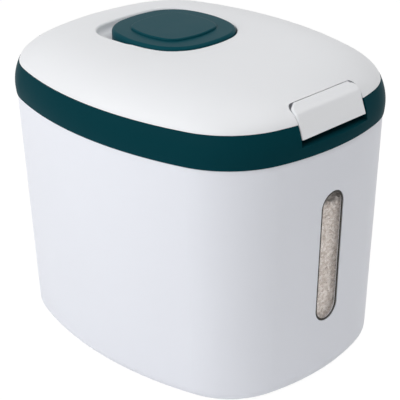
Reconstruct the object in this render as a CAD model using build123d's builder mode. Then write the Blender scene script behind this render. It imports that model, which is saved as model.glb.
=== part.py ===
"""Rice storage bin: tapered bucket, rim collar, hinged domed lid, front latch and stowed measuring cup.

Millimetres. X runs across the bin, Y along it with the latch at -Y, and Z up from the floor.
Every outline is a rounded rectangle with bulged sides. The outlines of the bin itself are all
parallel to the widest one, so they are given as an inset from it.
"""
from build123d import *
from math import atan2, degrees, hypot, radians, sqrt, tan
from typing import NamedTuple
import os


class Outline(NamedTuple):
    """Half sizes of a bulged rounded rectangle and the radii of its corners, ends and sides."""

    half_x: float
    half_y: float
    corner: float
    end_radius: float
    side_radius: float
    centre_y: float = 0.0


# widest outline, round the bulge of the collar
rim = Outline(half_x=120.0, half_y=150.0, corner=72.0, end_radius=208.0, side_radius=311.0)

# bucket
shoulder_height = 204.0     # shoulder that carries the collar
body_inset = 1.5            # how far the wall stands inside the widest outline at the shoulder
draft_angle = 1.92
body_wall = 3.0
floor_thickness = 3.5
base_fillet = 12.0
cavity_fillet = 9.0
neck_height = 13.0          # thin neck above the shoulder, inside the collar
neck_inset = 2.5

# window in the front wall
window_width = 25.5
window_height = 114.0
window_centre = 110.0       # height of its middle
pane_recess = 1.1           # depth of the pane's face below the wall's face
pane_gap = 0.15             # between the pane and the edge of the window
flange_width = 4.0          # overlap of the pane behind the wall
flange_thickness = 2.0
flange_gap = 0.3            # between the flange and the wall

# collar
collar_height = 25.4
collar_bulge_height = 7.6   # height of the widest line above the collar's lower edge
collar_bottom_inset = 0.6
collar_top_inset = 4.2
collar_skirt_inset = 2.2    # inner face of the outer skirt
collar_ledge_inset = 6.2    # inner edge of the ledge that sits on the neck
collar_land = 2.2           # thickness of the top
mouth_inset = 12.5          # clear opening
mouth_skirt = 2.0           # thickness of the skirt round the opening
mouth_skirt_lift = 3.0      # height of that skirt's lower edge above the collar's
mouth_chamfer = 0.8

# latch pocket in the front of the collar
pocket_half_width = 37.0
pocket_lift = 9.3           # height of the pocket's floor above the collar's lower edge
pocket_wall = 2.0
pocket_depth = 11.0         # from the widest outline to the pocket's back
pocket_clearance = 0.4      # between the pocket's walls and the neck
keeper_radius = 1.4
keeper_half_width = 24.0
keeper_lift = 19.8          # height of the keeper bead above the collar's lower edge

# lid
lid_gap = 0.3
lid_setback = 0.5           # lid's lower edge inside the collar's upper edge
lid_rise = 24.2             # from the lid's lower edge to its crown
lid_side_power = 5.5        # superellipse powers of the crown's section
lid_top_power = 1.38
lid_wall = 2.4
lid_rim_width = 4.0         # lower rim, beside the liner
lid_ledge_width = 2.5       # ledge above the liner's edge
crown_shares = (1.0, 0.985, 0.96, 0.92, 0.87, 0.81, 0.74, 0.66, 0.57, 0.48, 0.39, 0.3)

# hinge at the rear
hinge_overhang = 2.5        # pin's line behind the widest outline
hinge_drop = 3.9            # pin's line below the collar's top
hinge_x = 26.0              # middle of each hinge
knuckle_length = 14.0
knuckle_radius = 3.5
ear_thickness = 4.0
ear_gap = 0.4
ear_root_height = 9.0
hinge_pin_radius = 1.5
pin_clearance = 0.05
arm_length = 12.0           # from inside the lid's rim to the knuckle
arm_thickness = 2.6
arm_gap = 0.4               # between the arm and the collar's top

# measuring cup, stowed upside down in the lid
cup = Outline(
    half_x=46.0,
    half_y=48.2,
    corner=34.0,
    end_radius=88.0,
    side_radius=82.0,
    centre_y=24.8,
)
cup_step = Outline(
    half_x=31.0,
    half_y=31.0,
    corner=15.0,
    end_radius=60.0,
    side_radius=60.0,
    centre_y=24.8,
)
cup_proud = 2.1             # height of its closed end above the lid's crown
cup_depth = 36.0
cup_draft = 0.4             # how far its closed end is smaller than its mouth, each side
cup_wall = 2.0
cup_top_fillet = 2.6
cup_clearance = 0.45
step_height = 1.7
step_fillet = 1.4

# well and finger scoop in the lid
scoop = Outline(
    half_x=48.6,
    half_y=39.2,
    corner=27.0,
    end_radius=200.0,
    side_radius=300.0,
    centre_y=43.0,
)
well_wall = 2.2
well_seat_gap = 0.3
scoop_depth = 11.5          # below the cup's top
scoop_fillet = 4.0
well_edge_fillet = 1.5

# latch
latch_setback = 16.0        # pivot behind the widest outline
latch_lift = 6.7            # pivot above the lid's lower edge
latch_pin_radius = 1.2
latch_barrel = 2.4
latch_half_width = 36.0
latch_side_gap = 0.6
latch_rear = (2.3, 6.0)     # top face from its rear edge over the bend to the lip, from the pivot
latch_bend = (-5.7, 0.2)
latch_lip = (-12.3, -17.6)
latch_thickness = 2.2
latch_bend_radius = 4.0
latch_edge_fillet = 1.5
latch_corner = 4.8
latch_turn_gap = 0.35       # between the latch's rear edge and the lid
nose_half_width = 22.0
nose_thickness = 1.8
nose_drop = 2.0             # from the middle of the keeper bead to the nose
nose_back_gap = 0.6
tray_floor_thickness = 1.6
tray_wall = 3.0
tray_front = 4.0            # from the pivot forwards to the tray's front edge
tray_lip = 1.2

# liner and gasket under the lid
liner_thickness = 2.2
liner_gap = 0.3
plug_clearance = 1.5
plug_depth = 8.0
plug_wall = 2.4
gasket_height = 3.0
gasket_drop = 2.0           # from the lid's lower edge to the gasket
gasket_gap = 0.5            # between the gasket and the mouth
gasket_groove = 1.1
groove_play = 0.1
boss_radius = 4.0
screw_radius = 1.5
screw_head_radius = 3.0
screw_head_height = 2.0
screw_depth = 7.0
screw_edge = 40.0           # from the widest outline to each screw
screw_shares = (-0.5, 0.1, 0.6)     # their places along the bin, as shares of its half length

# worked out from the sizes above
neck_top = shoulder_height + neck_height
neck_inner_inset = body_inset + body_wall
collar_top = shoulder_height + collar_height
collar_land_bottom = collar_top - collar_land
mouth_skirt_inset = mouth_inset - mouth_skirt
pocket_floor = shoulder_height + pocket_lift
pocket_back = -rim.half_y + pocket_depth
pocket_housing = pocket_half_width + pocket_wall
keeper_height = shoulder_height + keeper_lift
hinge_y = rim.half_y + hinge_overhang
hinge_z = collar_top - hinge_drop
lid_bottom = collar_top + lid_gap
lid_inset = collar_top_inset + lid_setback
liner_inset = lid_inset + lid_rim_width
liner_top = lid_bottom + liner_thickness
cavity_top = lid_bottom + lid_rise - lid_wall
cup_top = lid_bottom + lid_rise + cup_proud
cup_bottom = cup_top - cup_depth
well_floor = cup_bottom - well_seat_gap
well_bottom = well_floor - well_wall
scoop_floor = cup_top - scoop_depth
plug_inset = mouth_inset + plug_clearance
plug_bottom = lid_bottom - plug_depth
gasket_bottom = lid_bottom - gasket_drop - gasket_height
notch_half_width = latch_half_width + latch_side_gap
tray_half_width = notch_half_width + tray_wall
tray_floor = liner_top + tray_floor_thickness
latch_y = latch_setback - rim.half_y
latch_z = lid_bottom + latch_lift
latch_rear_y, latch_rear_z = latch_y + latch_rear[0], latch_z + latch_rear[1]
latch_bend_y, latch_bend_z = latch_y + latch_bend[0], latch_z + latch_bend[1]
latch_lip_y, latch_lip_z = latch_y + latch_lip[0], latch_z + latch_lip[1]
latch_reach = hypot(*latch_rear)
latch_turn_radius = latch_reach + latch_turn_gap
tray_front_y = latch_y - tray_front
tray_rear_y = latch_y + latch_turn_radius + tray_wall
nose_top = keeper_height - nose_drop
nose_back = pocket_back - nose_back_gap
screw_x = rim.half_x - screw_edge
screw_places = [(side * screw_x, share * rim.half_y) for side in (-1, 1) for share in screw_shares]


def wall_inset(height):
    """Inset of the bucket's outer face at a height."""
    return body_inset + (shoulder_height - height) * tan(radians(draft_angle))


def collar_inset(height):
    """Inset of the collar's barrelled outer face at a height."""
    above_bulge = height - shoulder_height - collar_bulge_height
    if above_bulge < 0:
        return collar_bottom_inset * (above_bulge / collar_bulge_height) ** 2
    return collar_top_inset * (above_bulge / (collar_height - collar_bulge_height)) ** 2


def inset(shape, amount):
    """Outline moved inwards by an amount."""
    return Outline(
        shape.half_x - amount,
        shape.half_y - amount,
        shape.corner - amount,
        shape.end_radius - amount,
        shape.side_radius - amount,
        shape.centre_y,
    )


def scaled(shape, factor):
    """Outline scaled about its centre."""
    return Outline(*(factor * size for size in shape[:5]), shape.centre_y)


def outline_face(height, shape):
    """Face inside an outline at a height, with eight arcs that run into each other."""
    end_centre = shape.half_y - shape.end_radius
    side_centre = shape.half_x - shape.side_radius
    end_reach = shape.end_radius - shape.corner
    side_reach = shape.side_radius - shape.corner
    span = hypot(end_centre, side_centre)
    along = (end_reach**2 - side_reach**2 + span**2) / (2 * span)
    across = sqrt(end_reach**2 - along**2)
    corner_x = (side_centre * along - end_centre * across) / span
    corner_y = end_centre - (end_centre * along + side_centre * across) / span
    side_angle = degrees(atan2(corner_y, corner_x - side_centre))
    end_angle = degrees(atan2(corner_y - end_centre, corner_x))
    turn = end_angle - side_angle
    centre_y = shape.centre_y
    with BuildSketch(Plane.XY.offset(height)) as face:
        with BuildLine():
            for side in (1, -1):
                side_start = 0 if side > 0 else 180
                CenterArc(
                    (side * side_centre, centre_y),
                    shape.side_radius,
                    side_start - side_angle,
                    2 * side_angle,
                )
                CenterArc(
                    (0, centre_y + side * end_centre),
                    shape.end_radius,
                    side_start + end_angle,
                    180 - 2 * end_angle,
                )
                CenterArc(
                    (side * corner_x, centre_y + side * corner_y),
                    shape.corner,
                    side_start + side_angle,
                    turn,
                )
                CenterArc(
                    (-side * corner_x, centre_y + side * corner_y),
                    shape.corner,
                    side_start + 180 - end_angle,
                    turn,
                )
        make_face()
    return face.sketch


def rim_face(height, amount):
    """Face inside the widest outline moved inwards by an amount."""
    return outline_face(height, inset(rim, amount))


def tapered(bottom, top, bottom_inset, top_inset):
    """Solid between two parallel outlines, for use outside the blocks."""
    return loft(sections=[rim_face(bottom, bottom_inset), rim_face(top, top_inset)], ruled=True)


def crown(shape, base, rise):
    """Solid under a dome whose section is a superellipse, on an outline."""
    sections = []
    for share in crown_shares:
        height = rise * (1 - share**lid_side_power) ** (1 / lid_top_power)
        sections.append(outline_face(base + height, scaled(shape, share)))
    return loft(sections=sections)


# Space inside the bucket, for the rice.
with BuildPart() as bin_cavity:
    add(
        tapered(
            floor_thickness,
            shoulder_height,
            wall_inset(floor_thickness) + body_wall,
            neck_inner_inset,
        )
    )
    fillet(bin_cavity.faces().sort_by(Axis.Z)[0].edges(), radius=cavity_fillet)
    extrude(rim_face(shoulder_height, neck_inner_inset), amount=neck_height)

# Bucket: tapered wall with rounded corners, a neck for the collar, and a window slot.
with BuildPart() as bin_body:
    add(tapered(0, shoulder_height, wall_inset(0), body_inset))
    fillet(bin_body.faces().sort_by(Axis.Z)[0].edges(), radius=base_fillet)
    extrude(rim_face(shoulder_height, neck_inset), amount=neck_height)
    add(bin_cavity.part, mode=Mode.SUBTRACT)
    with Locations((0, -rim.half_y, pocket_floor - pocket_wall - liner_gap)):
        Box(
            2 * (pocket_housing + pocket_clearance),
            4 * mouth_inset,
            2 * neck_height,
            align=(Align.CENTER, Align.CENTER, Align.MIN),
            mode=Mode.SUBTRACT,
        )
    with BuildSketch(Plane.XZ.offset(rim.half_y / 2)):
        with Locations((0, window_centre)):
            SlotOverall(window_height, window_width, rotation=90)
    extrude(amount=rim.half_y, mode=Mode.SUBTRACT)
bin_body.part.label = "bin_body"

# Window pane: clear strip in the slot, with a flange behind the wall.
with BuildPart() as window_pane:
    add(
        tapered(
            floor_thickness,
            shoulder_height,
            wall_inset(floor_thickness) + pane_recess,
            body_inset + pane_recess,
        )
    )
    add(
        tapered(
            floor_thickness,
            shoulder_height,
            wall_inset(floor_thickness) + body_wall + flange_gap + flange_thickness,
            neck_inner_inset + flange_gap + flange_thickness,
        ),
        mode=Mode.SUBTRACT,
    )
    with BuildSketch(Plane.XZ.offset(rim.half_y / 2)):
        with Locations((0, window_centre)):
            SlotOverall(
                window_height + 2 * flange_width,
                window_width + 2 * flange_width,
                rotation=90,
            )
    extrude(amount=rim.half_y, mode=Mode.INTERSECT)
with BuildPart() as pane_surround:
    add(
        tapered(
            floor_thickness,
            shoulder_height,
            wall_inset(floor_thickness),
            body_inset,
        )
    )
    add(
        tapered(
            floor_thickness,
            shoulder_height,
            wall_inset(floor_thickness) + body_wall + flange_gap,
            neck_inner_inset + flange_gap,
        ),
        mode=Mode.SUBTRACT,
    )
    with BuildSketch(Plane.XZ.offset(rim.half_y / 2)):
        with Locations((0, window_centre)):
            SlotOverall(window_height - 2 * pane_gap, window_width - 2 * pane_gap, rotation=90)
    extrude(amount=rim.half_y, mode=Mode.SUBTRACT)
with window_pane:
    add(pane_surround.part, mode=Mode.SUBTRACT)
window_pane.part.label = "window_pane"

# Hollow underneath the collar's top, on both sides of the ledge, with the pocket's housing left in.
with BuildPart() as collar_hollow:
    extrude(rim_face(shoulder_height, collar_skirt_inset), amount=neck_height)
    extrude(
        rim_face(neck_top, collar_ledge_inset),
        amount=collar_land_bottom - neck_top,
    )
    extrude(
        rim_face(shoulder_height + mouth_skirt_lift, mouth_skirt_inset),
        amount=collar_height,
        mode=Mode.SUBTRACT,
    )
    with Locations((0, -rim.half_y, pocket_floor - pocket_wall)):
        Box(
            2 * pocket_housing,
            2 * mouth_inset,
            collar_height,
            align=(Align.CENTER, Align.CENTER, Align.MIN),
            mode=Mode.SUBTRACT,
        )

# Collar: barrelled band on the neck, with the mouth, the latch pocket and the hinge ears.
with BuildPart() as rim_collar:
    collar_heights = [shoulder_height + step * collar_height / 6 for step in range(7)]
    loft(sections=[rim_face(height, collar_inset(height)) for height in collar_heights])
    for ear_x in (
        -hinge_x - knuckle_length / 2 - ear_gap - ear_thickness,
        -hinge_x + knuckle_length / 2 + ear_gap,
        hinge_x - knuckle_length / 2 - ear_gap - ear_thickness,
        hinge_x + knuckle_length / 2 + ear_gap,
    ):
        with BuildSketch(Plane.YZ.offset(ear_x)):
            with Locations((hinge_y, hinge_z)):
                Circle(knuckle_radius)
            with Locations((rim.half_y - mouth_inset / 2, hinge_z - knuckle_radius)):
                Rectangle(mouth_skirt, ear_root_height)
            make_hull()
        extrude(amount=ear_thickness)
    add(collar_hollow.part, mode=Mode.SUBTRACT)
    extrude(rim_face(shoulder_height, mouth_inset), amount=collar_height, mode=Mode.SUBTRACT)
    add(
        tapered(
            collar_top - mouth_chamfer,
            collar_top,
            mouth_inset,
            mouth_inset - mouth_chamfer,
        ),
        mode=Mode.SUBTRACT,
    )
    with Locations((0, pocket_back, pocket_floor)):
        Box(
            2 * pocket_half_width,
            2 * pocket_depth,
            collar_height,
            align=(Align.CENTER, Align.MAX, Align.MIN),
            mode=Mode.SUBTRACT,
        )
    with BuildSketch(Plane.YZ):
        with Locations((pocket_back, keeper_height)):
            Circle(keeper_radius)
    extrude(amount=keeper_half_width, both=True)
    with BuildSketch(Plane.YZ):
        with Locations((hinge_y, hinge_z)):
            Circle(hinge_pin_radius + pin_clearance)
    extrude(amount=rim.half_x, both=True, mode=Mode.SUBTRACT)
rim_collar.part.label = "rim_collar"


def hinge_pin(side):
    """Steel pin through both ears of a hinge."""
    reach = knuckle_length / 2 + ear_gap + ear_thickness
    with BuildPart() as pin:
        with BuildSketch(Plane.YZ.offset(side * hinge_x - reach)):
            with Locations((hinge_y, hinge_z)):
                Circle(hinge_pin_radius)
        extrude(amount=2 * reach)
    return pin.part


hinge_pins = {"hinge_pin_left": hinge_pin(-1), "hinge_pin_right": hinge_pin(1)}
for pin_name, pin in hinge_pins.items():
    pin.label = pin_name

# Space of the finger scoop, rounded at its floor.
with BuildPart() as scoop_space:
    extrude(outline_face(scoop_floor, scoop), amount=cup_depth)
    fillet(scoop_space.faces().sort_by(Axis.Z)[0].edges(), radius=scoop_fillet)

# Space in which the latch turns, open towards the front.
with BuildPart() as latch_space:
    with BuildSketch(Plane.YZ.offset(-notch_half_width)):
        with Locations((latch_y, latch_z)):
            Circle(latch_turn_radius)
    extrude(amount=2 * notch_half_width)
    fillet(latch_space.edges().filter_by(GeomType.CIRCLE), radius=latch_corner)
    with Locations((0, latch_y, tray_floor)):
        Box(
            2 * notch_half_width,
            4 * latch_turn_radius,
            lid_rise,
            align=(Align.CENTER, Align.CENTER, Align.MAX),
            mode=Mode.SUBTRACT,
        )
    with Locations((0, latch_y - latch_corner / 2, tray_floor)):
        Box(
            2 * notch_half_width,
            rim.half_y,
            lid_rise,
            align=(Align.CENTER, Align.MAX, Align.MIN),
        )
    with Locations((0, tray_front_y, lid_bottom - lid_gap)):
        Box(
            2 * notch_half_width,
            rim.half_y,
            lid_rise,
            align=(Align.CENTER, Align.MAX, Align.MIN),
        )

# Hollow in the lid above the liner, with the well, the scoop, the latch tray and the bosses left in.
with BuildPart() as lid_cavity:
    add(crown(inset(rim, liner_inset + lid_ledge_width), liner_top, cavity_top - liner_top))
    extrude(
        outline_face(well_bottom, inset(cup, -cup_clearance - well_wall)),
        amount=2 * cup_depth,
        mode=Mode.SUBTRACT,
    )
    extrude(
        outline_face(scoop_floor - well_wall, inset(scoop, -well_wall)),
        amount=2 * cup_depth,
        mode=Mode.SUBTRACT,
    )
    with Locations((0, tray_rear_y, liner_top)):
        Box(
            2 * tray_half_width,
            rim.half_y,
            lid_rise,
            align=(Align.CENTER, Align.MAX, Align.MIN),
            mode=Mode.SUBTRACT,
        )
    with BuildSketch(Plane.XY.offset(liner_top)):
        with Locations(*screw_places):
            Circle(boss_radius)
    extrude(amount=lid_rise, mode=Mode.SUBTRACT)

# Lid: domed shell with rear arms, the well for the cup, the finger scoop and the latch notch.
with BuildPart() as lid_shell:
    add(crown(inset(rim, lid_inset), lid_bottom, lid_rise))
    for arm_x in (-hinge_x, hinge_x):
        with BuildSketch(Plane.YZ.offset(arm_x - knuckle_length / 2)):
            with Locations((hinge_y, hinge_z)):
                Circle(knuckle_radius)
            with Locations((hinge_y - knuckle_radius, collar_top + arm_gap)):
                Rectangle(arm_length, arm_thickness, align=(Align.MAX, Align.MIN))
            make_hull()
            with Locations((hinge_y - knuckle_radius, collar_top + arm_gap)):
                Rectangle(
                    arm_length,
                    lid_rise,
                    align=(Align.MAX, Align.MAX),
                    mode=Mode.SUBTRACT,
                )
        extrude(amount=knuckle_length)
    with BuildSketch(Plane.YZ):
        with Locations((hinge_y, hinge_z)):
            Circle(hinge_pin_radius + pin_clearance)
    extrude(amount=rim.half_x, both=True, mode=Mode.SUBTRACT)
    add(lid_cavity.part, mode=Mode.SUBTRACT)
    extrude(rim_face(lid_bottom, liner_inset), amount=liner_thickness, mode=Mode.SUBTRACT)
    with Locations((0, tray_front_y + tray_lip, lid_bottom)):
        Box(
            2 * tray_half_width,
            3 * tray_lip,
            liner_thickness,
            align=(Align.CENTER, Align.MAX, Align.MIN),
        )
    extrude(
        outline_face(well_bottom, inset(cup, -cup_clearance - well_wall)),
        amount=liner_top - well_bottom,
    )
    extrude(
        outline_face(well_floor, inset(cup, -cup_clearance)),
        amount=2 * cup_depth,
        mode=Mode.SUBTRACT,
    )
    add(scoop_space.part, mode=Mode.SUBTRACT)
    well_rim = [
        edge
        for edge in lid_shell.edges()
        if edge.center().Z > cavity_top and abs(edge.center().X) < scoop.half_x + well_wall / 2
    ]
    fillet(well_rim, radius=well_edge_fillet)
    add(latch_space.part, mode=Mode.SUBTRACT)
    with BuildSketch(Plane.YZ):
        with Locations((latch_y, latch_z)):
            Circle(latch_pin_radius + pin_clearance)
    extrude(amount=tray_half_width - 1, both=True, mode=Mode.SUBTRACT)
    with BuildSketch(Plane.XY.offset(liner_top)):
        with Locations(*screw_places):
            Circle(screw_radius + pin_clearance)
    extrude(amount=screw_depth, mode=Mode.SUBTRACT)
lid_shell.part.label = "lid_shell"

# Measuring cup: upside down, with a stepped closed end.
with BuildPart() as measuring_cup:
    loft(
        sections=[outline_face(cup_bottom, cup), outline_face(cup_top, inset(cup, cup_draft))],
        ruled=True,
    )
    fillet(measuring_cup.faces().sort_by(Axis.Z)[-1].edges(), radius=cup_top_fillet)
    extrude(outline_face(cup_top, cup_step), amount=step_height)
    fillet(measuring_cup.faces().sort_by(Axis.Z)[-1].edges(), radius=step_fillet)
    add(
        loft(
            sections=[
                outline_face(cup_bottom, inset(cup, cup_wall)),
                outline_face(cup_top - cup_wall, inset(cup, cup_draft + cup_wall)),
            ],
            ruled=True,
        ),
        mode=Mode.SUBTRACT,
    )
measuring_cup.part.label = "measuring_cup"

# Latch: bent flap that covers the pocket, with a barrel on its pin and a nose below the keeper bead.
latch_slope = (latch_bend_y - latch_lip_y) / (latch_bend_z - latch_lip_z)
latch_under = latch_z - latch_barrel
latch_inner_y = latch_lip_y + latch_thickness + latch_slope * (latch_under - latch_lip_z)
with BuildPart() as latch_flap:
    with BuildSketch(Plane.YZ) as flap_section:
        with BuildLine():
            Polyline(
                (latch_rear_y, latch_rear_z),
                (latch_bend_y, latch_bend_z),
                (latch_lip_y, latch_lip_z),
                (latch_lip_y + latch_thickness, latch_lip_z),
                (latch_inner_y, latch_under),
                (latch_y, latch_under),
                (latch_y + latch_barrel, latch_z),
                close=True,
            )
        make_face()
        fillet(flap_section.vertices().sort_by(Axis.X)[2], radius=latch_bend_radius)
        with Locations((latch_y, latch_z)):
            Circle(latch_barrel)
    extrude(amount=latch_half_width, both=True)
    with BuildSketch(Plane.XY.offset(latch_lip_z - latch_thickness)) as flap_plan:
        with Locations((0, latch_y + latch_barrel)):
            Rectangle(2 * latch_half_width, lid_rise, align=(Align.CENTER, Align.MAX))
        fillet(flap_plan.vertices().group_by(Axis.Y)[-1], radius=latch_corner)
    extrude(amount=2 * lid_rise, mode=Mode.INTERSECT)
    shoulder_edges = [
        edge
        for edge in latch_flap.edges()
        if abs(edge.center().X) > latch_half_width - latch_corner / 2
        and (
            edge.center().Z > latch_z + latch_thickness / 2
            or edge.center().Y < latch_lip_y + latch_slope * (edge.center().Z - latch_lip_z) + 0.5
        )
    ]
    fillet(shoulder_edges, radius=latch_edge_fillet)
    with BuildSketch(Plane.YZ):
        with Locations((nose_back, nose_top)):
            Rectangle(
                nose_back - latch_lip_y - latch_thickness,
                nose_thickness,
                align=(Align.MAX, Align.MAX),
            )
    extrude(amount=nose_half_width, both=True)
    with BuildSketch(Plane.YZ):
        with Locations((latch_y, latch_z)):
            Circle(latch_pin_radius + pin_clearance)
    extrude(amount=latch_half_width, both=True, mode=Mode.SUBTRACT)
latch_flap.part.label = "latch_flap"

# Latch pin: steel, held in the walls on both sides of the notch.
with BuildPart() as latch_pin:
    with BuildSketch(Plane.YZ):
        with Locations((latch_y, latch_z)):
            Circle(latch_pin_radius)
    extrude(amount=tray_half_width - 1, both=True)
latch_pin.part.label = "latch_pin"

# Groove round the plug, for the gasket.
with BuildPart() as groove:
    extrude(rim_face(gasket_bottom - groove_play, plug_inset), amount=gasket_height + 2 * groove_play)
    extrude(
        rim_face(gasket_bottom - groove_play, plug_inset + gasket_groove),
        amount=gasket_height + 2 * groove_play,
        mode=Mode.SUBTRACT,
    )

# Liner: plate that closes the lid from below, with the plug that reaches into the mouth.
with BuildPart() as lid_liner:
    extrude(rim_face(lid_bottom, liner_inset + liner_gap), amount=liner_thickness)
    with Locations((0, tray_front_y + tray_lip + liner_gap, lid_bottom)):
        Box(
            2 * (tray_half_width + liner_gap),
            rim.half_y,
            liner_thickness,
            align=(Align.CENTER, Align.MAX, Align.MIN),
            mode=Mode.SUBTRACT,
        )
    extrude(
        outline_face(lid_bottom, inset(cup, -cup_clearance - well_wall - liner_gap)),
        amount=liner_thickness,
        mode=Mode.SUBTRACT,
    )
    with BuildSketch(Plane.XY.offset(lid_bottom)):
        with Locations(*screw_places):
            Circle(screw_radius + pin_clearance)
    extrude(amount=liner_thickness, mode=Mode.SUBTRACT)
    extrude(rim_face(plug_bottom, plug_inset), amount=plug_depth)
    extrude(
        rim_face(plug_bottom, plug_inset + plug_wall),
        amount=plug_depth,
        mode=Mode.SUBTRACT,
    )
    add(groove.part, mode=Mode.SUBTRACT)
lid_liner.part.label = "lid_liner"

# Gasket: soft ring in the groove round the plug.
with BuildPart() as lid_gasket:
    extrude(rim_face(gasket_bottom, mouth_inset + gasket_gap), amount=gasket_height)
    extrude(
        rim_face(gasket_bottom, plug_inset + gasket_groove - groove_play),
        amount=gasket_height,
        mode=Mode.SUBTRACT,
    )
lid_gasket.part.label = "lid_gasket"

# Screws: six short screws that hold the liner to the lid.
with BuildPart() as liner_screws:
    with BuildSketch(Plane.XY.offset(lid_bottom - screw_head_height)):
        with Locations(*screw_places):
            Circle(screw_head_radius)
    extrude(amount=screw_head_height)
    with BuildSketch(Plane.XY.offset(lid_bottom)):
        with Locations(*screw_places):
            Circle(screw_radius)
    extrude(amount=liner_thickness + screw_depth)
liner_screws.part.label = "liner_screws"

os.makedirs("parts", exist_ok=True)
for solid in (
    bin_body.part,
    window_pane.part,
    rim_collar.part,
    *hinge_pins.values(),
    lid_shell.part,
    lid_liner.part,
    lid_gasket.part,
    liner_screws.part,
    latch_pin.part,
    latch_flap.part,
    measuring_cup.part,
):
    export_step(solid, f"parts/{solid.label}.step")
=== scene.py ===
"""Rice storage bin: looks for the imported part.

Metres, in the frame of the part: X across the bin, the latch at -Y, the hinges at +Y, Z up.
"""
import math

import bpy
import numpy as np
from mathutils import Matrix, Vector


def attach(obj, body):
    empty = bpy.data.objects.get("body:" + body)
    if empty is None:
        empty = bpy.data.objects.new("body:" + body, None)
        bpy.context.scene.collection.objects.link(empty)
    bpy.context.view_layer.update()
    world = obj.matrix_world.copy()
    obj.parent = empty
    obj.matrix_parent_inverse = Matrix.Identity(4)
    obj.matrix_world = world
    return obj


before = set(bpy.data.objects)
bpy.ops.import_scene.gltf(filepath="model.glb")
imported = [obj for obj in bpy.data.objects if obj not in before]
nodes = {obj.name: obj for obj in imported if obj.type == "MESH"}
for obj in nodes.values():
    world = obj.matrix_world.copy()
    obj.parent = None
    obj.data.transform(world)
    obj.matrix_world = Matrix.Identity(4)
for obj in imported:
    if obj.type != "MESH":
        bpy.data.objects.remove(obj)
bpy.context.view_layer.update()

# ---------------------------------------------------------------------------------------------
# Bucket. The real one is injection-moulded polypropylene in a cool white with a satin surface.
# It is one tapered wall with a flat base, a long window slot in the front, and a neck on top
# that the collar is pressed onto.


class Value:
    """A shader socket that adds its own Math nodes when it is used in an expression."""

    def __init__(self, finish, socket):
        self.finish = finish
        self.socket = socket

    def _math(self, operation, *values):
        return self.finish.node("ShaderNodeMath", values, operation=operation)

    def __add__(self, other):
        return self._math("ADD", self, other)

    def __radd__(self, other):
        return self._math("ADD", other, self)

    def __sub__(self, other):
        return self._math("SUBTRACT", self, other)

    def __rsub__(self, other):
        return self._math("SUBTRACT", other, self)

    def __mul__(self, other):
        return self._math("MULTIPLY", self, other)

    def __rmul__(self, other):
        return self._math("MULTIPLY", other, self)


class Finish:
    """A material made from nodes: node() adds any node and returns one of its outputs."""

    def __init__(self, name):
        self.material = bpy.data.materials.new(name)
        self.material.use_nodes = True
        self.tree = self.material.node_tree
        self.tree.nodes.clear()

    def node(self, kind, inputs=(), output=0, **settings):
        node = self.tree.nodes.new(kind)
        for key, value in settings.items():
            setattr(node, key, value)
        pairs = inputs.items() if isinstance(inputs, dict) else enumerate(inputs)
        for key, value in pairs:
            if isinstance(value, Value):
                self.tree.links.new(value.socket, node.inputs[key])
            else:
                node.inputs[key].default_value = value
        return Value(self, node.outputs[output]) if node.outputs else None

    def place(self, stretch=(1.0, 1.0, 1.0)):
        """Object coordinates, stretched along X, Y and Z."""
        coordinates = self.node("ShaderNodeTexCoord", output="Object")
        return self.node("ShaderNodeMapping", {"Vector": coordinates, "Scale": stretch})

    def noise(self, scale, detail=2.0, stretch=(1.0, 1.0, 1.0)):
        """Noise on Object coordinates, about 0.5 in the middle."""
        return self.node(
            "ShaderNodeTexNoise",
            {"Vector": self.place(stretch), "Scale": scale, "Detail": detail},
        )

    def blend(self, factor, first, second):
        """Colour between two colours."""
        return self.node(
            "ShaderNodeMix",
            {"Factor": factor, "A": (*first, 1.0), "B": (*second, 1.0)},
            output="Result",
            data_type="RGBA",
        )

    def close(self, shader):
        self.node("ShaderNodeOutputMaterial", [shader])
        return self.material


def shade(colour, factor):
    """Colour made darker or lighter."""
    return tuple(min(1.0, channel * factor) for channel in colour)


MOULD_GRAIN = 0.00002


def moulded(name, colour, roughness, shine=0.4, mottle=0.02):
    """Moulded plastic: faint clouds in its colour, uneven gloss and a very fine grain."""
    finish = Finish(name)
    cloud = finish.noise(7.0, 3.0)
    polish = finish.noise(38.0, 4.0)
    grain = finish.noise(1100.0, 2.0)
    bump = finish.node(
        "ShaderNodeBump", {"Strength": 0.3, "Distance": MOULD_GRAIN, "Height": grain}
    )
    darker, lighter = shade(colour, 1 - mottle), shade(colour, 1 + mottle)
    shader = finish.node(
        "ShaderNodeBsdfPrincipled",
        {
            "Base Color": finish.blend(cloud, darker, lighter),
            "Roughness": roughness - 0.05 + 0.1 * polish,
            "IOR": 1.49,
            "Specular IOR Level": shine,
            "Normal": bump,
        },
    )
    return finish.close(shader)


def paint(piece, material):
    piece.data.materials.clear()
    piece.data.materials.append(material)


BUCKET_WHITE = (0.785, 0.805, 0.868)
paint(nodes["bin_body"], moulded("bucket_white", BUCKET_WHITE, roughness=0.44))

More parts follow.
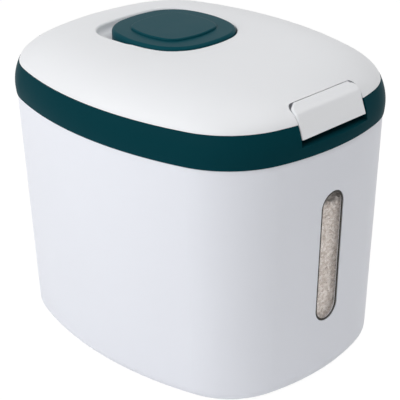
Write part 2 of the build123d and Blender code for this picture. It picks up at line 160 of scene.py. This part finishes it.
# ---------------------------------------------------------------------------------------------
# Window pane. The real one is a clear moulded strip, pushed into the slot from inside, where
# its flange rests behind the wall. Rice dust has left it hazy, more so up to the rice's level.
DUSTY_BELOW, CLEAR_ABOVE = 0.142, 0.156     # heights between which the dust fades
DUSTY_ALPHA, CLEAR_ALPHA = 0.13, 0.085
pane_finish = Finish("window_pane_clear")
haze = pane_finish.noise(55.0, 3.0)
height = pane_finish.node("ShaderNodeSeparateXYZ", [pane_finish.place()], output="Z")
dust = pane_finish.node(
    "ShaderNodeMapRange",
    {
        "Value": height,
        "From Min": DUSTY_BELOW,
        "From Max": CLEAR_ABOVE,
        "To Min": DUSTY_ALPHA,
        "To Max": CLEAR_ALPHA,
    },
)
paint(
    nodes["window_pane"],
    pane_finish.close(
        pane_finish.node(
            "ShaderNodeBsdfPrincipled",
            {
                "Base Color": pane_finish.blend(haze, (0.90, 0.82, 0.77), (0.99, 0.92, 0.87)),
                "Roughness": 0.05 + 0.12 * haze,
                "IOR": 1.49,
                "Alpha": dust,
            },
        )
    ),
)
nodes["window_pane"].visible_shadow = False

# ---------------------------------------------------------------------------------------------
# Pane's shadow line. A thin dark bead round the edge of the pane, where it meets the slot:
# painted shade, standing for the shadow in the gap between the pane and the slot's edge. It
# lies on the pane's face, in the corner between that and the slot's edge.
SHOULDER = 0.204
SLOPE = math.tan(math.radians(1.92))
END_RADIUS, HALF_Y = 0.208, 0.150       # end arc and half length of the widest outline
BODY_INSET = 0.0015                     # of the bucket's face at the shoulder, inside it


def front_face(x, z, depth):
    """Y of the front wall at x and z, moved inwards by depth.

    The wall is an arc whose radius shrinks from END_RADIUS with the wall's slope below the
    shoulder, so Y is the arc's centre less the root of its radius squared less x squared.
    """
    reach = END_RADIUS - BODY_INSET - (SHOULDER - z) * SLOPE - depth
    return END_RADIUS - HALF_Y - np.sqrt(reach**2 - x**2)


def torus_faces(rows, columns):
    """Quads of a grid that is closed along its rows and its columns."""
    row, column = np.meshgrid(np.arange(rows), np.arange(columns), indexing="ij")
    after_row, after_column = (row + 1) % rows, (column + 1) % columns
    quads = [row * columns + column, after_row * columns + column,
             after_row * columns + after_column, row * columns + after_column]
    return np.stack(quads, axis=-1).reshape(-1, 4).tolist()


def new_piece(name, points, faces, material, body):
    """Mesh object from points and faces, painted, smooth, and riding on a body."""
    mesh = bpy.data.meshes.new(name)
    mesh.from_pydata(points.tolist(), [], faces)
    mesh.polygons.foreach_set("use_smooth", [True] * len(mesh.polygons))
    mesh.update()
    piece = bpy.data.objects.new(name, mesh)
    bpy.context.scene.collection.objects.link(piece)
    piece.data.materials.append(material)
    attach(piece, body)
    return piece


BEAD_LINE_HALF_WIDTH, BEAD_LINE_HALF_LENGTH = 0.0117, 0.0560      # of the line that the bead follows
WINDOW_MIDDLE = 0.110                                     # height of the window's middle
PANE_RECESS = 0.0011
BEAD_WIDTH, BEAD_HEIGHT = 0.00095, 0.00045              # half sizes of the bead's section
BEAD_LIFT = 0.7         # of its middle over the pane's face, as a share of its half height
along = np.linspace(0.0, 2 * math.pi, 192, endpoint=False)
straight = (BEAD_LINE_HALF_LENGTH - BEAD_LINE_HALF_WIDTH) * np.sign(np.sin(along))
section = np.linspace(0.0, 2 * math.pi, 12, endpoint=False)
out_x, out_z = np.cos(along)[:, None], np.sin(along)[:, None]
reach = BEAD_LINE_HALF_WIDTH + BEAD_WIDTH * np.cos(section)
bead_x = out_x * reach
bead_z = WINDOW_MIDDLE + straight[:, None] + out_z * reach
bead_y = front_face(bead_x, bead_z, PANE_RECESS)
bead_y = bead_y - BEAD_HEIGHT * (BEAD_LIFT + np.sin(section))
# Near-black colours of the bead: painted shade of the gap at the pane's edge.
SHADOW_BEAD_DARK, SHADOW_BEAD_LIGHT = (0.040, 0.038, 0.034), (0.085, 0.080, 0.074)
shadow_bead_finish = Finish("pane_edge_painted_shade")
specks = shadow_bead_finish.noise(700.0, 3.0)
pane_shadow_bead = new_piece(
    "pane_shadow_bead",
    np.stack([bead_x, bead_y, bead_z], -1).reshape(-1, 3),
    torus_faces(len(along), len(section)),
    shadow_bead_finish.close(
        shadow_bead_finish.node(
            "ShaderNodeBsdfPrincipled",
            {
                "Base Color": shadow_bead_finish.blend(specks, SHADOW_BEAD_DARK, SHADOW_BEAD_LIGHT),
                "Roughness": 0.6 + 0.2 * specks,
                "Specular IOR Level": 0.2,
            },
        )
    ),
    "bin",
)

# ---------------------------------------------------------------------------------------------
# Collar and hinge pins. The real collar is a dark green moulded band, pressed onto the bucket's
# neck, with the mouth, the latch's pocket and the hinge ears in one piece. The pins are steel.
GREEN = (0.0022, 0.038, 0.050)
paint(
    nodes["rim_collar"],
    moulded("collar_green", GREEN, roughness=0.42, shine=0.012, mottle=0.05),
)


DRAWN_GRAIN = 0.00001


def drawn_steel(name):
    """Drawn steel: fine lines along X and a slightly uneven shine."""
    finish = Finish(name)
    lines = finish.noise(900.0, 3.0, stretch=(0.05, 1.0, 1.0))
    bump = finish.node(
        "ShaderNodeBump", {"Strength": 0.3, "Distance": DRAWN_GRAIN, "Height": lines}
    )
    shader = finish.node(
        "ShaderNodeBsdfPrincipled",
        {
            "Base Color": finish.blend(lines, (0.50, 0.50, 0.50), (0.66, 0.66, 0.65)),
            "Metallic": 1.0,
            "Roughness": 0.24 + 0.16 * lines,
            "Normal": bump,
        },
    )
    return finish.close(shader)


pin_steel = drawn_steel("pin_steel")
for name in ("hinge_pin_left", "hinge_pin_right", "latch_pin"):
    paint(nodes[name], pin_steel)

# ---------------------------------------------------------------------------------------------
# Lid, liner and latch. The real shell is a domed moulding in a slightly warmer white than the
# bucket, with the well for the cup. The liner closes it from below, and the latch turns on a
# pin in the shell's front edge.
LID_WHITE = (0.827, 0.84, 0.868)
paint(nodes["lid_shell"], moulded("lid_white", LID_WHITE, roughness=0.46))
# The latch's white is 2 % lighter than the lid's: painted light, for the brighter top and bend
# of the flap.
paint(
    nodes["latch_flap"],
    moulded("latch_white_painted_light", shade(LID_WHITE, 1.02), roughness=0.40, shine=0.45),
)
paint(nodes["lid_liner"], moulded("liner_white", shade(LID_WHITE, 0.97), roughness=0.52))

# ---------------------------------------------------------------------------------------------
# Gasket. The real one is a soft silicone ring, pushed into the groove round the liner's plug.
gasket_finish = Finish("gasket_silicone")
dust = gasket_finish.noise(160.0, 4.0)
paint(
    nodes["lid_gasket"],
    gasket_finish.close(
        gasket_finish.node(
            "ShaderNodeBsdfPrincipled",
            {
                "Base Color": gasket_finish.blend(dust, (0.52, 0.53, 0.54), (0.62, 0.63, 0.63)),
                "Roughness": 0.55 + 0.2 * dust,
                "IOR": 1.41,
            },
        )
    ),
)

# ---------------------------------------------------------------------------------------------
# Liner screws. Six short zinc-plated screws, driven up into bosses in the lid.
screw_finish = Finish("screw_zinc")
spots = screw_finish.noise(420.0, 3.0)
paint(
    nodes["liner_screws"],
    screw_finish.close(
        screw_finish.node(
            "ShaderNodeBsdfPrincipled",
            {
                "Base Color": screw_finish.blend(spots, (0.46, 0.47, 0.48), (0.62, 0.63, 0.64)),
                "Metallic": 1.0,
                "Roughness": 0.28 + 0.25 * spots,
            },
        )
    ),
)

# ---------------------------------------------------------------------------------------------
# Measuring cup. The real one is moulded in the collar's green and stored upside down in the
# lid's well. Its stepped closed end is smoother and shinier than the collar.
paint(
    nodes["measuring_cup"],
    moulded("cup_green", shade(GREEN, 1.5), roughness=0.36, shine=0.028, mottle=0.05),
)

# ---------------------------------------------------------------------------------------------
# Rice. It fills the bucket to just below the window's top: a solid bed, with loose grains on
# its top and pressed against the pane. Short grains, milky with a slight warm tint.
rng = np.random.default_rng(11)
CORNER_CENTRE = np.array([0.0366, 0.0730])      # these three are of the widest outline
CORNER_RADIUS, SIDE_RADIUS = 0.072, 0.311
HALF_X = 0.120
WALL = 0.003
FLOOR = 0.0038
RICE_LEVEL = 0.1545


def wall(z):
    """How far the bucket's inner face stands inside the widest outline, at a height."""
    return BODY_INSET + WALL + (SHOULDER - z) * SLOPE


def outline(columns, depth):
    """Points of the widest outline moved inwards by depth, by the direction of its normal.

    Each normal angle belongs to a side arc, a corner arc or an end arc, by two limits, and the
    point is that arc's centre plus its radius, less depth, along the normal. The angles are
    spread so that the points are evenly spaced on the outline.
    """
    side_limit = math.atan2(CORNER_CENTRE[1], CORNER_CENTRE[0] + SIDE_RADIUS - HALF_X)
    end_limit = math.atan2(CORNER_CENTRE[1] + END_RADIUS - HALF_Y, CORNER_CENTRE[0])

    def arcs(angle):
        across, along = np.abs(np.cos(angle)), np.abs(np.sin(angle))
        quarter = np.arctan2(along, across)
        kinds = [quarter < side_limit, quarter < end_limit]
        radius = np.select(kinds, [SIDE_RADIUS, CORNER_RADIUS], END_RADIUS)
        centre_x = np.select(kinds, [HALF_X - SIDE_RADIUS, CORNER_CENTRE[0]], 0.0)
        centre_y = np.select(kinds, [0.0, CORNER_CENTRE[1]], HALF_Y - END_RADIUS)
        return radius, centre_x * np.sign(np.cos(angle)), centre_y * np.sign(np.sin(angle))

    fine = np.linspace(0.0, 2 * math.pi, 4001)
    length = np.concatenate([[0.0], np.cumsum(arcs((fine[1:] + fine[:-1]) / 2)[0])])
    steps = np.linspace(0.0, length[-1], columns, endpoint=False)
    angle = np.interp(steps, length, fine)
    radius, centre_x, centre_y = arcs(angle)
    reach = radius - depth
    return centre_x + reach * np.cos(angle), centre_y + reach * np.sin(angle)


def grid_faces(rows, columns):
    """Quads of a grid closed round its columns, with one point added below and above."""
    row, column = np.meshgrid(np.arange(rows - 1), np.arange(columns), indexing="ij")
    here = row * columns + column
    beside = row * columns + (column + 1) % columns
    quads = np.stack([here, beside, beside + columns, here + columns], axis=-1).reshape(-1, 4)
    ring = np.arange(columns)
    after = (ring + 1) % columns
    last = (rows - 1) * columns
    below, above = rows * columns, rows * columns + 1
    lower = np.stack([after, ring, np.full(columns, below)], axis=-1)
    upper = np.stack([last + ring, last + after, np.full(columns, above)], axis=-1)
    return quads.tolist() + lower.tolist() + upper.tolist()


def rice_top(x, y):
    """Height of the rice's top: level, with a few broad low waves added."""
    return (
        RICE_LEVEL
        + 0.0022 * np.sin(23.0 * x + 0.7) * np.cos(19.0 * y)
        + 0.0012 * np.sin(51.0 * x - 37.0 * y)
    )


GRAIN_RELIEF = 0.0005


def rice_finish(name, light, dark, cell=None, glow=0.0):
    """Rice: milky grains with a slight shine, each a little lighter or darker than the next.

    The tone is a grain's own, or comes from cells of a pattern; the cells darken towards their
    edges, which is painted shade in the gaps between grains. A weak glow in the same colour is
    painted light, standing for the light that comes through the grains.
    """
    finish = Finish(name)
    if cell is None:
        tone = finish.node("ShaderNodeAttribute", {}, output="Fac", attribute_name="shade")
        height = finish.noise(900.0, 2.0)
    else:
        cells = {"Vector": finish.place((1.0, 1.0, 1.6)), "Scale": cell}
        tone = finish.node("ShaderNodeTexVoronoi", cells, output="Distance")
        # Darker towards the cells' edges: painted shade between the grains.
        tone = 1.15 - 1.4 * tone
        height = tone
    bump = finish.node(
        "ShaderNodeBump", {"Strength": 0.5, "Distance": GRAIN_RELIEF, "Height": height}
    )
    colour = finish.blend(tone, dark, light)
    shader = finish.node(
        "ShaderNodeBsdfPrincipled",
        {
            "Base Color": colour,
            # Emission: a painted glow, standing for the light through the grains.
            "Emission Color": colour,
            "Emission Strength": glow,
            "Roughness": 0.42 + 0.1 * finish.noise(300.0),
            "IOR": 1.45,
            "Normal": bump,
        },
    )
    return finish.close(shader)


BED_COLUMNS = 320
BED_WALL_ROWS = 60
BED_TOP_ROWS = 22
BED_FILLET = 0.009
BED_EDGE_DROP = 0.002
BED_GAP = 0.0004
PANE_RELIEF = 0.0052        # room for the pane's flange and the grains behind it
RELIEF_HALF_WIDTH, RELIEF_BOTTOM, RELIEF_FADE = 0.021, 0.044, 0.004
turn = np.linspace(0.0, math.pi / 2, 6)[:-1]
wall_rows = np.linspace(FLOOR + BED_FILLET, RICE_LEVEL - BED_EDGE_DROP, BED_WALL_ROWS)
row_height = np.concatenate([FLOOR + BED_FILLET * (1 - np.cos(turn)), wall_rows])
row_depth = wall(row_height) + BED_GAP
row_depth[: len(turn)] += BED_FILLET * (1 - np.sin(turn))
edge_x, edge_y = outline(BED_COLUMNS, row_depth[:, None])
at_pane = np.clip((RELIEF_HALF_WIDTH - np.abs(edge_x)) / RELIEF_FADE, 0.0, 1.0)
at_pane = at_pane * np.clip((row_height[:, None] - RELIEF_BOTTOM) / RELIEF_FADE, 0.0, 1.0)
at_pane = at_pane * (edge_y < 0)
edge_y = edge_y + PANE_RELIEF * at_pane
rim_x, rim_y = outline(BED_COLUMNS, wall(RICE_LEVEL) + BED_GAP)
rim_y = np.where(at_pane[-1] > 0, edge_y[-1], rim_y)
inwards = np.linspace(0.995, 0.02, BED_TOP_ROWS)[:, None]
top_x, top_y = rim_x * inwards, rim_y * inwards
bed_points = np.concatenate(
    [
        np.stack([edge_x, edge_y, np.broadcast_to(row_height[:, None], edge_x.shape)], -1),
        np.stack([top_x, top_y, rice_top(top_x, top_y)], -1),
    ]
).reshape(-1, 3)
bed_points = np.vstack([bed_points, [0.0, 0.0, FLOOR], [0.0, 0.0, rice_top(0.0, 0.0)]])
RICE_LIGHT = (1.0, 0.96, 0.93)
RICE_DARK = (0.58, 0.50, 0.45)
# The bed's dark is 0.6 of the grains' dark, and its cells darken at their edges: painted shade
# in the gaps between the grains.
new_piece(
    "rice_bed",
    bed_points,
    grid_faces(len(row_height) + BED_TOP_ROWS, BED_COLUMNS),
    rice_finish("rice_bed", RICE_LIGHT, shade(RICE_DARK, 0.6), cell=330.0),
    "bin",
)


GRAIN = np.array([0.0022, 0.0010, 0.0009])      # half length, half width and half thickness
GRAIN_BEND = 28.0


def grains(name, centres, turns, material, around, rings):
    """Rice grains on one mesh.

    A grain is an ellipsoid, bent a little along its length: the offset across it grows with
    the square of the place along it. All its points are turned by the grain's matrix and
    moved to its centre at once.
    """
    angle = np.linspace(0.0, 2 * math.pi, around, endpoint=False)
    rise = np.linspace(-1.0, 1.0, rings + 2)[1:-1] * 0.93
    along, spin = np.meshgrid(rise, angle, indexing="ij")
    width = np.sqrt(1 - along**2)
    shape = np.stack([along, width * np.cos(spin), width * np.sin(spin)], -1).reshape(-1, 3)
    shape = np.vstack([shape, [-1.0, 0.0, 0.0], [1.0, 0.0, 0.0]])
    shape = shape * GRAIN
    shape[:, 1] += GRAIN_BEND * shape[:, 0] ** 2
    size = rng.uniform(0.88, 1.1, (len(centres), 1, 1))
    points = np.einsum("nij,pj->npi", turns, shape) * size + centres[:, None, :]
    faces = grid_faces(rings, around)
    count = len(shape)
    quads = np.array([face for face in faces if len(face) == 4])
    tips = np.array([face for face in faces if len(face) == 3])
    shift = np.arange(len(centres))[:, None, None] * count
    all_faces = (quads + shift).reshape(-1, 4).tolist() + (tips + shift).reshape(-1, 3).tolist()
    piece = new_piece(name, points.reshape(-1, 3), all_faces, material, "bin")
    tone = piece.data.attributes.new("shade", "FLOAT", "POINT")
    tone.data.foreach_set("value", np.repeat(rng.uniform(0.1, 1.0, len(centres)), count))
    return piece


def turns_about(normal, spin, tilt):
    """Matrices that lay a grain across normal, turned by spin and tilted out of that plane."""
    first = np.cross(normal, np.array([0.0, 0.31, 0.95]) + 0.2 * normal[:, [1, 2, 0]])
    first /= np.linalg.norm(first, axis=1, keepdims=True)
    second = np.cross(normal, first)
    flat = np.cos(spin)[:, None] * first + np.sin(spin)[:, None] * second
    length = np.cos(tilt)[:, None] * flat + np.sin(tilt)[:, None] * normal
    side = np.cross(normal, length)
    side /= np.linalg.norm(side, axis=1, keepdims=True)
    return np.stack([length, side, np.cross(length, side)], axis=-1)


WINDOW_GRAINS = 2000
GRAIN_SPREAD, GRAIN_BOTTOM = 0.0165, 0.0475
FLANGE, FLANGE_GAP = 0.0023, 0.0003
SECOND_LAYER = 0.0014
grain_x = rng.uniform(-GRAIN_SPREAD, GRAIN_SPREAD, WINDOW_GRAINS)
grain_z = rng.uniform(GRAIN_BOTTOM, RICE_LEVEL - 0.001, WINDOW_GRAINS)
tilt = rng.normal(0, 0.22, WINDOW_GRAINS)
layer = rng.choice([0.0, SECOND_LAYER], WINDOW_GRAINS, p=[0.5, 0.5])
clearance = GRAIN[1] + GRAIN[0] * np.abs(np.sin(tilt))
depth = wall(grain_z) + FLANGE + FLANGE_GAP + clearance + layer
reach = END_RADIUS - depth
grain_y = END_RADIUS - HALF_Y - np.sqrt(reach**2 - grain_x**2)
facing = np.stack([grain_x / reach, -np.sqrt(1 - (grain_x / reach) ** 2), 0 * grain_x], -1)
# These grains glow at 0.10: painted light that brightens the rice seen behind the pane.
grains(
    "rice_at_window",
    np.stack([grain_x, grain_y, grain_z], -1),
    turns_about(facing, rng.uniform(0, math.pi, WINDOW_GRAINS), tilt),
    rice_finish("rice_grains_lit", RICE_LIGHT, RICE_DARK, glow=0.10),
    around=8,
    rings=4,
)

TOP_GRAINS = 5200
share = np.sqrt(rng.uniform(0.0, 1.0, TOP_GRAINS)) * 0.985
around_top = rng.integers(0, BED_COLUMNS, TOP_GRAINS)
grain_x, grain_y = rim_x[around_top] * share, rim_y[around_top] * share
lift = rng.uniform(0.0002, 0.0014, TOP_GRAINS)
upwards = np.tile([0.0, 0.0, 1.0], (TOP_GRAINS, 1)) + rng.normal(0.0, 0.1, (TOP_GRAINS, 3))
upwards /= np.linalg.norm(upwards, axis=1, keepdims=True)
# The grains on top glow a little too: painted light.
grains(
    "rice_on_top",
    np.stack([grain_x, grain_y, rice_top(grain_x, grain_y) + lift], -1),
    turns_about(
        upwards, rng.uniform(0, 2 * math.pi, TOP_GRAINS), rng.normal(0, 0.15, TOP_GRAINS)
    ),
    rice_finish("rice_grains", RICE_LIGHT, RICE_DARK, glow=0.03),
    around=6,
    rings=3,
)

# ---------------------------------------------------------------------------------------------
# Floor and backdrop. A plain white studio sweep, seen as white, that keeps a faint shadow.


WHITE = (1.0, 1.0, 1.0, 1.0)


def seen_directly(finish):
    """1 for rays from the camera and for those off gloss or through glass, else 0."""
    camera_ray, glossy_ray, through_ray = [
        finish.node("ShaderNodeLightPath", output=kind)
        for kind in ("Is Camera Ray", "Is Glossy Ray", "Is Transmission Ray")
    ]
    return finish.node(
        "ShaderNodeMath", [camera_ray + glossy_ray, through_ray], operation="MAXIMUM"
    )


GLOW_SHARE = 0.87       # the rest is lit by the lamps, and so shows the bin's shadow
floor_finish = Finish("studio_floor")
glow_share = GLOW_SHARE * seen_directly(floor_finish)
floor_white = floor_finish.node("ShaderNodeBsdfDiffuse", {"Color": (0.95, 0.95, 0.95, 1.0)})
floor_glow = floor_finish.node("ShaderNodeEmission", {"Color": WHITE, "Strength": 1.075})
floor_finish.close(
    floor_finish.node("ShaderNodeMixShader", [glow_share, floor_white, floor_glow])
)
bpy.ops.mesh.primitive_plane_add(size=40.0, location=(0.0, 0.0, 0.0))
floor = bpy.context.object
floor.name = "floor"
paint(floor, floor_finish.material)


class Sky(Finish):
    """The world's own nodes, with the same way of adding them."""

    def __init__(self, name):
        world = bpy.data.worlds.new(name)
        world.use_nodes = True
        bpy.context.scene.world = world
        self.tree = world.node_tree
        self.tree.nodes.clear()


sky = Sky("studio")
SOFT_WHITE = (1.0, 0.985, 0.955, 1.0)
sky_white = sky.node("ShaderNodeBackground", {"Color": WHITE, "Strength": 1.0})
sky_soft = sky.node("ShaderNodeBackground", {"Color": SOFT_WHITE, "Strength": 0.25})
sky.node(
    "ShaderNodeOutputWorld",
    [sky.node("ShaderNodeMixShader", [seen_directly(sky), sky_soft, sky_white])],
)

# ---------------------------------------------------------------------------------------------
# Lamps. Four soft boxes: two side by side at the left, a weak one in front, and one overhead.


def soft_box(name, direction, distance, size, level):
    """Square lamp that faces the bin. A white surface that faces it reaches this level."""
    data = bpy.data.lights.new(name, "AREA")
    data.size = size
    data.energy = level * math.pi**2 * distance**2
    piece = bpy.data.objects.new(name, data)
    away = Vector(direction).normalized()
    piece.location = Vector((0.0, 0.0, 0.12)) + away * distance
    piece.rotation_euler = away.to_track_quat("Z", "Y").to_euler()
    bpy.context.scene.collection.objects.link(piece)


soft_box("key_rear", (-0.75, 0.45, 0.50), 2.0, 1.3, 0.32)
soft_box("key_left", (-0.85, -0.15, 0.50), 2.0, 1.3, 0.34)
soft_box("front", (0.25, -0.70, 0.65), 2.2, 1.2, 0.07)
soft_box("top", (0.33, -0.30, 0.90), 2.0, 1.4, 0.32)

# ---------------------------------------------------------------------------------------------
# Camera. At the photograph's viewing angle, found from the bin's outline in the photograph.
azimuth = math.radians(-44.17)
elevation = math.radians(25.47)
roll = math.radians(-0.80)
distance = 1.0805
focal_pixels = 1287.1
image_pixels = 400
centre_pixel = (197.32, 188.68)
target = Vector((0.0, 0.0, 0.120))
back = Vector(
    (
        math.sin(azimuth) * math.cos(elevation),
        -math.cos(azimuth) * math.cos(elevation),
        math.sin(elevation),
    )
)
level_right = Vector((math.cos(azimuth), math.sin(azimuth), 0.0))
level_up = back.cross(level_right)
right = level_right * math.cos(roll) + level_up * math.sin(roll)
up = level_up * math.cos(roll) - level_right * math.sin(roll)
camera_data = bpy.data.cameras.new("camera")
camera_data.sensor_width = 36.0
camera_data.lens = focal_pixels * camera_data.sensor_width / image_pixels
camera_data.shift_x = (image_pixels / 2 - centre_pixel[0]) / image_pixels
camera_data.shift_y = (centre_pixel[1] - image_pixels / 2) / image_pixels
camera = bpy.data.objects.new("camera", camera_data)
turned = Matrix((right, up, back)).transposed().to_4x4()
camera.matrix_world = Matrix.Translation(target + back * distance) @ turned
bpy.context.scene.collection.objects.link(camera)
bpy.context.scene.camera = camera
bpy.context.scene.view_settings.view_transform = "Standard"
